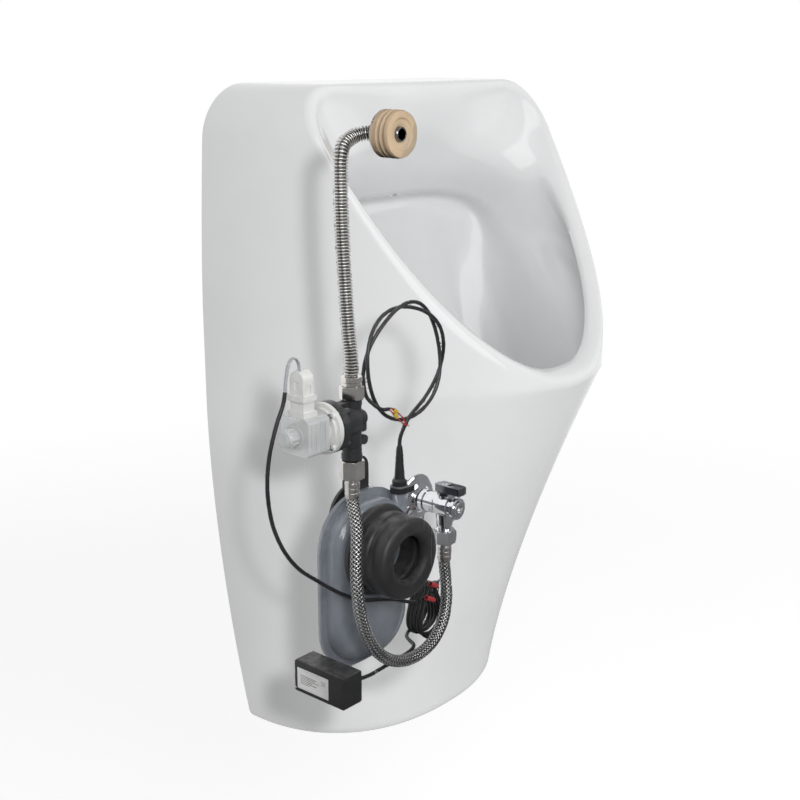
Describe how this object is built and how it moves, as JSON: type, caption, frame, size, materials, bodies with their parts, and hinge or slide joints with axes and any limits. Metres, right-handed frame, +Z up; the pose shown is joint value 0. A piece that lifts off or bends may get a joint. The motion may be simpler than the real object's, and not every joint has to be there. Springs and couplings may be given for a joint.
{
  "type": "sensor urinal",
  "caption": "Wall-hung vitreous china urinal with its sensor flush valve, clear flat trap, rubber cuff, angle valve, hoses, cables and control box in the hollow behind the bowl",
  "frame": {"origin": "on the wall plane, midway between the two fixing screws of the hooks", "axes": "+X to the right seen from the front, +Y into the wall, +Z up; the front faces -Y"},
  "size_m": [0.368, 0.3072, 0.6],
  "materials": {
    "ceramic": "gloss",
    "hook_steel": "satin",
    "seal_rubber": "matte",
    "spud_metal": "gloss",
    "hose_steel": "satin",
    "nickel": "satin",
    "black_rubber": "matte",
    "valve_plastic": "satin",
    "white_plastic": "satin",
    "screw_steel": "satin",
    "copper": "satin",
    "coil_plastic": "gloss",
    "wire_grey": "satin",
    "cable_black": "satin",
    "braid_steel": "satin",
    "valve_chrome": "gloss",
    "brass": "satin",
    "lever_metal": "gloss",
    "trap_plastic": "gloss",
    "probe_plastic": "satin",
    "wire_red": "satin",
    "sleeve_yellow": "satin",
    "connector_red": "gloss",
    "box_black": "satin",
    "circuit_green": "satin",
    "label_white": "satin"
  },
  "bodies": {
    "urinal": {"ceramic_body": "ceramic", "hanger_hooks": "hook_steel", "hanger_screws": "hook_steel", "inlet_seal": "seal_rubber", "inlet_spud": "spud_metal", "ribbed_hose": "hose_steel", "ribbed_hose_collar": "nickel", "upper_nut": "nickel", "upper_washer": "black_rubber", "valve_body": "valve_plastic", "diaphragm": "black_rubber", "diaphragm_cover": "white_plastic", "cover_screws": "screw_steel", "solenoid_tube": "screw_steel", "coil_winding": "copper", "coil_housing": "coil_plastic", "coil_knob": "coil_plastic", "armature_spring": "screw_steel", "terminal_housing": "white_plastic", "coil_wires": "wire_grey", "solenoid_lead": "cable_black", "lower_washer": "black_rubber", "lower_nut": "nickel", "upper_ferrule": "nickel", "braided_hose": "braid_steel", "lower_ferrule": "nickel", "angle_nut": "valve_chrome", "angle_valve_body": "valve_chrome", "angle_end_cap": "valve_chrome", "trap_back": "trap_plastic", "trap_front": "trap_plastic", "trap_cuff": "black_rubber", "outlet_seal": "black_rubber", "probe_holder": "probe_plastic", "probe_tip": "probe_plastic", "probe_relief": "cable_black", "sensor_cable": "cable_black", "sensor_wires": "wire_red", "wire_sleeves": "sleeve_yellow", "hank_tie": "cable_black", "box_cable": "cable_black", "splice_wires": "cable_black", "splice_connectors": "connector_red", "box_case": "box_black", "box_lid": "box_black", "box_circuit": "circuit_green", "box_label": "label_white", "box_gland": "cable_black"},
    "lever": {"valve_spindle": "brass", "valve_lever": "lever_metal", "lever_screw": "screw_steel"},
    "plunger": {"armature": "screw_steel"},
    "rose": {"wall_rose": "valve_chrome"}
  },
  "joints": [
    {"name": "angle_valve_lever", "type": "hinge", "parent": "urinal", "child": "lever", "pos_m": [0.102, -0.04, -0.411], "axis": [0, 0, 1], "range_deg": [0, 90]},
    {"name": "armature_slide", "type": "slide", "parent": "urinal", "child": "plunger", "axis": [-1, 0, 0], "range_m": [0, 0.003], "stiffness_N_per_m": 150, "springref_m": -0.004, "deforming": ["armature_spring"]},
    {"name": "rose_slide", "type": "slide", "parent": "urinal", "child": "rose", "axis": [0, -1, 0], "range_m": [0, 0.0025]}
  ]
}
